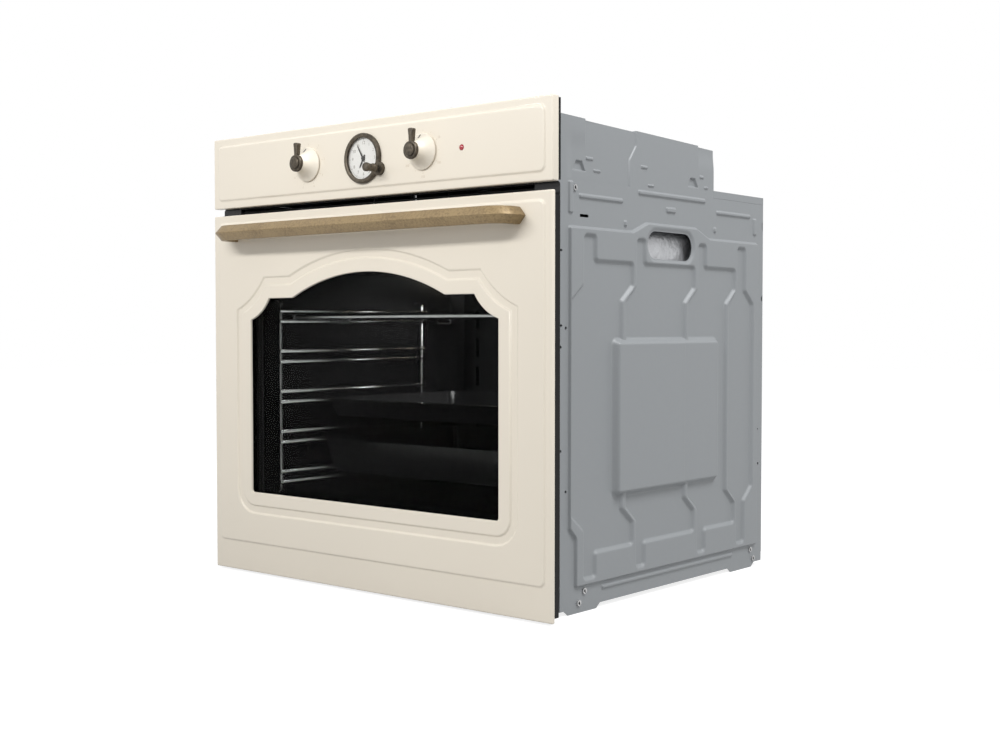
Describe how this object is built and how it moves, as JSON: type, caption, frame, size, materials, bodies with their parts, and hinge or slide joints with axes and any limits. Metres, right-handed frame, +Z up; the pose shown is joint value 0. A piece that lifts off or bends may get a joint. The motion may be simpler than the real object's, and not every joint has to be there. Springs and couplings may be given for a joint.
{
  "type": "built-in oven",
  "caption": "Built-in oven with a cream enamelled arched drop-down door, bow handle, control panel with knobs and clock, wire racks and trays, and a pressed sheet carcass.",
  "frame": {"origin": "on the base plane, under the middle of the overall box", "axes": "+X to the right seen from the front, +Y to the back, +Z up"},
  "size_m": [0.597, 0.5918, 0.598],
  "materials": {
    "cream_enamel": "glossy cream enamel",
    "cream_plastic": "glossy cream moulding",
    "galvanised_sheet": "dull galvanised sheet",
    "black_enamel": "gloss black enamel",
    "black_paint": "satin black paint",
    "black_plastic": "matte black moulding",
    "aged_brass": "aged satin brass",
    "dark_bronze": "dark bronze plating",
    "door_glass": "clear tinted glass",
    "clear_glass": "clear glass",
    "chrome_wire": "bright plated wire",
    "dial_white": "satin white print",
    "hand_black": "satin black",
    "heater_steel": "heat-darkened tube",
    "bare_steel": "plain bright steel",
    "porcelain": "unglazed white ceramic",
    "motor_casing": "cast motor casing",
    "seal_rubber": "black heat-proof seal",
    "foil_wool": "foil-faced mineral wool",
    "red_lens": "translucent red",
    "switch_plastic": "pale moulding"
  },
  "bodies": {
    "carcass": {"front_frame": "black_enamel", "cavity_shell": "black_enamel", "door_seal": "seal_rubber", "insulation_blanket": "foil_wool", "fan_cover": "black_enamel", "fan_motor": "motor_casing", "ring_heater": "heater_steel", "grill_heater": "heater_steel", "bottom_heater": "heater_steel", "lamp_holder": "porcelain", "lamp_lens": "clear_glass", "side_rack_right": "chrome_wire", "side_rack_left": "chrome_wire", "side_panel_right": "galvanised_sheet", "side_panel_left": "galvanised_sheet", "casing_screws": "bare_steel", "base_pan": "galvanised_sheet", "upper_housing": "galvanised_sheet", "top_cover": "galvanised_sheet", "cooling_deck": "galvanised_sheet", "rear_panel": "galvanised_sheet", "terminal_box": "black_plastic", "blower_housing": "galvanised_sheet", "blower_motor": "motor_casing", "control_panel": "cream_enamel", "panel_bracket": "black_paint", "air_outlet_trim": "black_plastic", "function_switch": "switch_plastic", "thermostat": "switch_plastic", "thermostat_probe": "bare_steel", "indicator_lens": "red_lens", "clock_module": "black_plastic", "clock_dial": "dial_white", "clock_bezel": "dark_bronze", "clock_lens": "clear_glass", "hinge_arms": "bare_steel"},
    "door": {"door_front_sheet": "cream_enamel", "door_outer_glass": "door_glass", "door_inner_glass": "door_glass", "door_side_profile_right": "black_paint", "door_side_profile_left": "black_paint", "door_top_rail": "black_paint", "door_bottom_rail": "black_paint", "hinge_housings": "bare_steel", "hinge_pins": "bare_steel", "handle": "aged_brass", "handle_screws": "bare_steel"},
    "function_knob": {"function_knob_skirt": "cream_plastic", "function_knob_lever": "dark_bronze"},
    "temperature_knob": {"temperature_knob_skirt": "cream_plastic", "temperature_knob_lever": "dark_bronze"},
    "winder_stem": {"winder_stem": "bare_steel"},
    "winder_knob": {"winder_knob": "dark_bronze"},
    "minute_hand": {"minute_hand": "hand_black"},
    "hour_hand": {"hour_hand": "hand_black"},
    "convection_fan": {"convection_fan": "bare_steel"},
    "blower_rotor": {"blower_rotor": "black_plastic"},
    "wire_shelf": {"wire_shelf": "chrome_wire"},
    "baking_tray": {"baking_tray": "black_enamel"},
    "deep_tray": {"deep_tray": "black_enamel"}
  },
  "joints": [
    {"name": "door_hinge", "type": "hinge", "parent": "carcass", "child": "door", "pos_m": [0, -0.24105, 0.019], "axis": [1, 0, 0], "range_deg": [0, 90], "stiffness_Nm_per_rad": 6, "springref_deg": -17.19},
    {"name": "function_turn", "type": "hinge", "parent": "carcass", "child": "function_knob", "pos_m": [-0.102, -0.25005, 0.5495], "axis": [0, 1, 0], "continuous": true},
    {"name": "temperature_turn", "type": "hinge", "parent": "carcass", "child": "temperature_knob", "pos_m": [0.102, -0.25005, 0.5495], "axis": [0, 1, 0], "range_deg": [0, 300]},
    {"name": "winder_press", "type": "slide", "parent": "carcass", "child": "winder_stem", "axis": [0, 1, 0], "range_m": [0, 0.002], "stiffness_N_per_m": 400, "springref_m": -0.002},
    {"name": "winder_turn", "type": "hinge", "parent": "winder_stem", "child": "winder_knob", "pos_m": [0.02896, -0.25505, 0.53475], "axis": [0, 1, 0], "continuous": true},
    {"name": "minute_turn", "type": "hinge", "parent": "carcass", "child": "minute_hand", "pos_m": [0, -0.25005, 0.5495], "axis": [0, 1, 0], "continuous": true},
    {"name": "hour_turn", "type": "hinge", "parent": "carcass", "child": "hour_hand", "pos_m": [0, -0.25005, 0.5495], "axis": [0, 1, 0], "continuous": true},
    {"name": "convection_spin", "type": "hinge", "parent": "carcass", "child": "convection_fan", "pos_m": [0, 0.19595, 0.262], "axis": [0, 1, 0], "continuous": true},
    {"name": "blower_spin", "type": "hinge", "parent": "carcass", "child": "blower_rotor", "pos_m": [0, -0.00005, 0.474], "axis": [0, 0, 1], "continuous": true},
    {"name": "shelf_pull", "type": "slide", "parent": "carcass", "child": "wire_shelf", "axis": [0, -1, 0], "range_m": [0, 0.017]},
    {"name": "baking_tray_pull", "type": "slide", "parent": "carcass", "child": "baking_tray", "axis": [0, -1, 0], "range_m": [0, 0.05]},
    {"name": "deep_tray_pull", "type": "slide", "parent": "carcass", "child": "deep_tray", "axis": [0, -1, 0], "range_m": [0, 0.05]}
  ],
  "couplings": [
    {"joint": "hour_turn", "follows": "minute_turn", "ratio": 0.083333}
  ]
}
